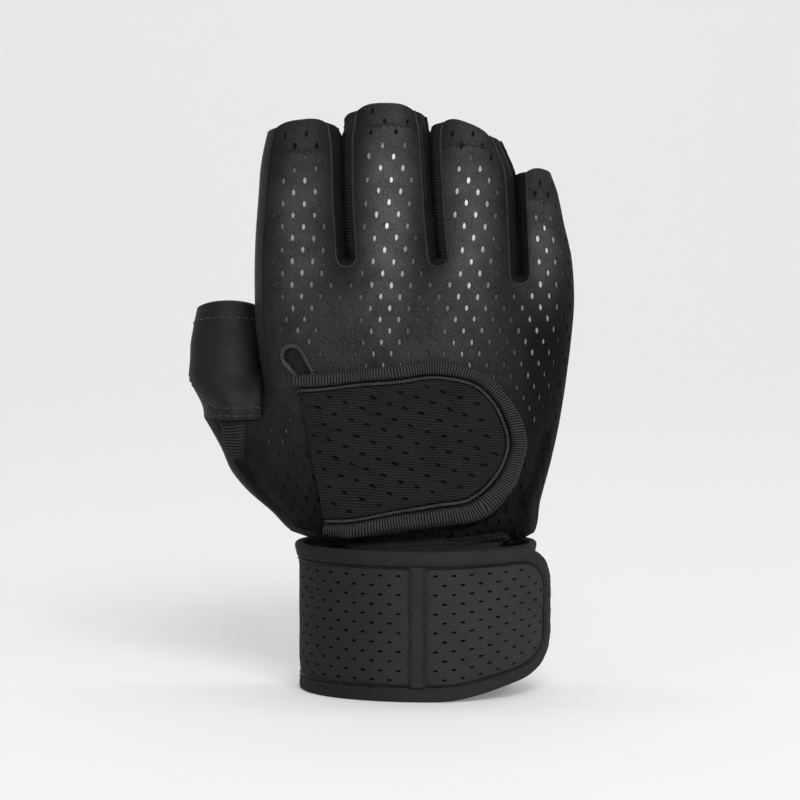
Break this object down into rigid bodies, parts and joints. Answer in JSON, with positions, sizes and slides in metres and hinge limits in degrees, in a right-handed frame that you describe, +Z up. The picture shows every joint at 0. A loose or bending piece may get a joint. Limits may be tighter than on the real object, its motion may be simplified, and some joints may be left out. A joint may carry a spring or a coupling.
{
  "type": "weightlifting glove",
  "caption": "Half-finger glove for the right hand with a perforated back, plain palm, closing strap on the back of the hand and a wrapped wrist band.",
  "frame": {"origin": "bottom centre of the bounding box, on the plane the wrist wrap stands on", "axes": "+Z up from the wrist to the fingertips, +X from the thumb to the little finger, -Y out of the back of the hand"},
  "size_m": [0.1234, 0.0592, 0.1865],
  "materials": {
    "mesh_fabric": "matt stretch fabric with a soft sheen",
    "leather": "smooth matt leather",
    "elastic": "ribbed elastic",
    "wrap_fabric": "foam-backed knit"
  },
  "bodies": {
    "root": {"back_panel": "mesh_fabric", "palm_panel": "leather", "index_side_strip": "leather", "fourchette_index_middle": "elastic", "fourchette_middle_ring": "elastic", "fourchette_ring_little": "elastic", "thumb_stall": "leather", "thumb_knit_insert": "elastic", "eyelet_ring": "elastic", "strap_base": "elastic", "strap_panel": "mesh_fabric", "strap_edge": "elastic", "strap_piping": "elastic", "wrist_elastic": "elastic", "wrap_panel": "wrap_fabric", "wrap_edge": "wrap_fabric", "wrap_seam_tape": "wrap_fabric"}
  },
  "joints": []
}
